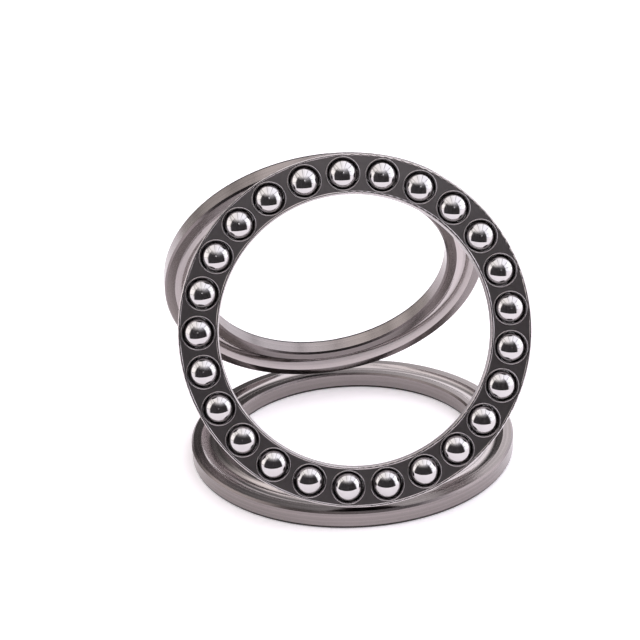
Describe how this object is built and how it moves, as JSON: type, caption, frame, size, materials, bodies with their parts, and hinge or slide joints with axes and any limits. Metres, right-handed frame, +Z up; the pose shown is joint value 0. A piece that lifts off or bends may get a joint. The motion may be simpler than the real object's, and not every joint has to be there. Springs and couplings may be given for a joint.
{
  "type": "thrust ball bearing",
  "caption": "Single-direction thrust ball bearing laid out as loose rings: a grooved washer lying flat, a caged ring of balls standing in its groove, and a second grooved washer leaning behind.",
  "frame": {"origin": "centre of the underside of the whole layout's bounding box, on the surface the housing washer lies on", "axes": "+Z up, along the housing washer's axis; -Y towards the viewer, where the caged ball ring stands; +X to the viewer's right"},
  "size_m": [0.1124, 0.1058, 0.1034],
  "materials": {
    "washer_steel": "ground and turned bearing steel, satin",
    "cage_steel": "pressed sheet steel, smooth grey satin",
    "ball_steel": "polished bearing balls"
  },
  "bodies": {
    "housing_washer": {"housing_washer": "washer_steel"},
    "shaft_washer": {"shaft_washer": "washer_steel"},
    "cage": {"cage_channel": "cage_steel", "cage_cover": "cage_steel"},
    "ball_01": {"ball_01": "ball_steel"},
    "ball_02": {"ball_02": "ball_steel"},
    "ball_03": {"ball_03": "ball_steel"},
    "ball_04": {"ball_04": "ball_steel"},
    "ball_05": {"ball_05": "ball_steel"},
    "ball_06": {"ball_06": "ball_steel"},
    "ball_07": {"ball_07": "ball_steel"},
    "ball_08": {"ball_08": "ball_steel"},
    "ball_09": {"ball_09": "ball_steel"},
    "ball_10": {"ball_10": "ball_steel"},
    "ball_11": {"ball_11": "ball_steel"},
    "ball_12": {"ball_12": "ball_steel"},
    "ball_13": {"ball_13": "ball_steel"},
    "ball_14": {"ball_14": "ball_steel"},
    "ball_15": {"ball_15": "ball_steel"},
    "ball_16": {"ball_16": "ball_steel"},
    "ball_17": {"ball_17": "ball_steel"},
    "ball_18": {"ball_18": "ball_steel"},
    "ball_19": {"ball_19": "ball_steel"},
    "ball_20": {"ball_20": "ball_steel"},
    "ball_21": {"ball_21": "ball_steel"},
    "ball_22": {"ball_22": "ball_steel"},
    "ball_23": {"ball_23": "ball_steel"},
    "ball_24": {"ball_24": "ball_steel"},
    "ball_25": {"ball_25": "ball_steel"}
  },
  "joints": [
    {"name": "shaft_washer_spin", "type": "hinge", "parent": "housing_washer", "child": "shaft_washer", "pos_m": [-0.00352, 0.0176, 0.05209], "axis": [-0.1107, 0.8774, 0.4669], "continuous": true},
    {"name": "cage_spin", "type": "hinge", "parent": "housing_washer", "child": "cage", "pos_m": [0.00397, -0.0296, 0.05454], "axis": [0.0299, -0.9169, 0.3979], "continuous": true},
    {"name": "ball_01_spin", "type": "hinge", "parent": "cage", "child": "ball_01", "pos_m": [0.00241, -0.01124, 0.09696], "axis": [-0.0339, 0.397, 0.9172], "continuous": true},
    {"name": "ball_02_spin", "type": "hinge", "parent": "cage", "child": "ball_02", "pos_m": [0.01394, -0.01135, 0.09585], "axis": [0.2156, 0.3947, 0.8932], "continuous": true},
    {"name": "ball_03_spin", "type": "hinge", "parent": "cage", "child": "ball_03", "pos_m": [0.02486, -0.0126, 0.09214], "axis": [0.4515, 0.3676, 0.813], "continuous": true},
    {"name": "ball_04_spin", "type": "hinge", "parent": "cage", "child": "ball_04", "pos_m": [0.03446, -0.01492, 0.08607], "axis": [0.6591, 0.3174, 0.6818], "continuous": true},
    {"name": "ball_05_spin", "type": "hinge", "parent": "cage", "child": "ball_05", "pos_m": [0.04214, -0.01817, 0.07802], "axis": [0.8253, 0.2473, 0.5077], "continuous": true},
    {"name": "ball_06_spin", "type": "hinge", "parent": "cage", "child": "ball_06", "pos_m": [0.04743, -0.02213, 0.06849], "axis": [0.9396, 0.1616, 0.3017], "continuous": true},
    {"name": "ball_07_spin", "type": "hinge", "parent": "cage", "child": "ball_07", "pos_m": [0.04999, -0.02656, 0.05809], "axis": [0.9949, 0.0658, 0.0768], "continuous": true},
    {"name": "ball_08_spin", "type": "hinge", "parent": "cage", "child": "ball_08", "pos_m": [0.04965, -0.03118, 0.04746], "axis": [0.9876, -0.0342, -0.153], "continuous": true},
    {"name": "ball_09_spin", "type": "hinge", "parent": "cage", "child": "ball_09", "pos_m": [0.04645, -0.03571, 0.03728], "axis": [0.9183, -0.132, -0.3731], "continuous": true},
    {"name": "ball_10_spin", "type": "hinge", "parent": "cage", "child": "ball_10", "pos_m": [0.04057, -0.03984, 0.02818], "axis": [0.7913, -0.2215, -0.5698], "continuous": true},
    {"name": "ball_11_spin", "type": "hinge", "parent": "cage", "child": "ball_11", "pos_m": [0.0324, -0.04334, 0.02074], "axis": [0.6146, -0.2971, -0.7307], "continuous": true},
    {"name": "ball_12_spin", "type": "hinge", "parent": "cage", "child": "ball_12", "pos_m": [0.02244, -0.04598, 0.01542], "axis": [0.3993, -0.354, -0.8457], "continuous": true},
    {"name": "ball_13_spin", "type": "hinge", "parent": "cage", "child": "ball_13", "pos_m": [0.01132, -0.04758, 0.01256], "axis": [0.1589, -0.3887, -0.9076], "continuous": true},
    {"name": "ball_14_spin", "type": "hinge", "parent": "cage", "child": "ball_14", "pos_m": [-0.00026, -0.04805, 0.01234], "axis": [-0.0916, -0.399, -0.9124], "continuous": true},
    {"name": "ball_15_spin", "type": "hinge", "parent": "cage", "child": "ball_15", "pos_m": [-0.01158, -0.04737, 0.01477], "axis": [-0.3362, -0.3842, -0.8599], "continuous": true},
    {"name": "ball_16_spin", "type": "hinge", "parent": "cage", "child": "ball_16", "pos_m": [-0.02192, -0.04557, 0.0197], "axis": [-0.5597, -0.3452, -0.7533], "continuous": true},
    {"name": "ball_17_spin", "type": "hinge", "parent": "cage", "child": "ball_17", "pos_m": [-0.03063, -0.04276, 0.02681], "axis": [-0.7481, -0.2846, -0.5995], "continuous": true},
    {"name": "ball_18_spin", "type": "hinge", "parent": "cage", "child": "ball_18", "pos_m": [-0.03716, -0.03913, 0.03567], "axis": [-0.8895, -0.2061, -0.4079], "continuous": true},
    {"name": "ball_19_spin", "type": "hinge", "parent": "cage", "child": "ball_19", "pos_m": [-0.04112, -0.0349, 0.04572], "axis": [-0.9749, -0.1146, -0.1907], "continuous": true},
    {"name": "ball_20_spin", "type": "hinge", "parent": "cage", "child": "ball_20", "pos_m": [-0.04224, -0.03034, 0.05632], "axis": [-0.9991, -0.0159, 0.0384], "continuous": true},
    {"name": "ball_21_spin", "type": "hinge", "parent": "cage", "child": "ball_21", "pos_m": [-0.04045, -0.02573, 0.0668], "axis": [-0.9606, 0.0837, 0.2652], "continuous": true},
    {"name": "ball_22_spin", "type": "hinge", "parent": "cage", "child": "ball_22", "pos_m": [-0.03588, -0.02136, 0.07652], "axis": [-0.8616, 0.1781, 0.4752], "continuous": true},
    {"name": "ball_23_spin", "type": "hinge", "parent": "cage", "child": "ball_23", "pos_m": [-0.0288, -0.01751, 0.08485], "axis": [-0.7086, 0.2613, 0.6555], "continuous": true},
    {"name": "ball_24_spin", "type": "hinge", "parent": "cage", "child": "ball_24", "pos_m": [-0.01966, -0.01443, 0.09129], "axis": [-0.511, 0.3281, 0.7945], "continuous": true},
    {"name": "ball_25_spin", "type": "hinge", "parent": "cage", "child": "ball_25", "pos_m": [-0.00904, -0.01229, 0.09541], "axis": [-0.2813, 0.3743, 0.8836], "continuous": true}
  ],
  "couplings": [
    {"joint": "cage_spin", "follows": "shaft_washer_spin", "ratio": 0.5},
    {"joint": "ball_01_spin", "follows": "shaft_washer_spin", "ratio": -4.8556},
    {"joint": "ball_02_spin", "follows": "shaft_washer_spin", "ratio": -4.8556},
    {"joint": "ball_03_spin", "follows": "shaft_washer_spin", "ratio": -4.8556},
    {"joint": "ball_04_spin", "follows": "shaft_washer_spin", "ratio": -4.8556},
    {"joint": "ball_05_spin", "follows": "shaft_washer_spin", "ratio": -4.8556},
    {"joint": "ball_06_spin", "follows": "shaft_washer_spin", "ratio": -4.8556},
    {"joint": "ball_07_spin", "follows": "shaft_washer_spin", "ratio": -4.8556},
    {"joint": "ball_08_spin", "follows": "shaft_washer_spin", "ratio": -4.8556},
    {"joint": "ball_09_spin", "follows": "shaft_washer_spin", "ratio": -4.8556},
    {"joint": "ball_10_spin", "follows": "shaft_washer_spin", "ratio": -4.8556},
    {"joint": "ball_11_spin", "follows": "shaft_washer_spin", "ratio": -4.8556},
    {"joint": "ball_12_spin", "follows": "shaft_washer_spin", "ratio": -4.8556},
    {"joint": "ball_13_spin", "follows": "shaft_washer_spin", "ratio": -4.8556},
    {"joint": "ball_14_spin", "follows": "shaft_washer_spin", "ratio": -4.8556},
    {"joint": "ball_15_spin", "follows": "shaft_washer_spin", "ratio": -4.8556},
    {"joint": "ball_16_spin", "follows": "shaft_washer_spin", "ratio": -4.8556},
    {"joint": "ball_17_spin", "follows": "shaft_washer_spin", "ratio": -4.8556},
    {"joint": "ball_18_spin", "follows": "shaft_washer_spin", "ratio": -4.8556},
    {"joint": "ball_19_spin", "follows": "shaft_washer_spin", "ratio": -4.8556},
    {"joint": "ball_20_spin", "follows": "shaft_washer_spin", "ratio": -4.8556},
    {"joint": "ball_21_spin", "follows": "shaft_washer_spin", "ratio": -4.8556},
    {"joint": "ball_22_spin", "follows": "shaft_washer_spin", "ratio": -4.8556},
    {"joint": "ball_23_spin", "follows": "shaft_washer_spin", "ratio": -4.8556},
    {"joint": "ball_24_spin", "follows": "shaft_washer_spin", "ratio": -4.8556},
    {"joint": "ball_25_spin", "follows": "shaft_washer_spin", "ratio": -4.8556}
  ]
}
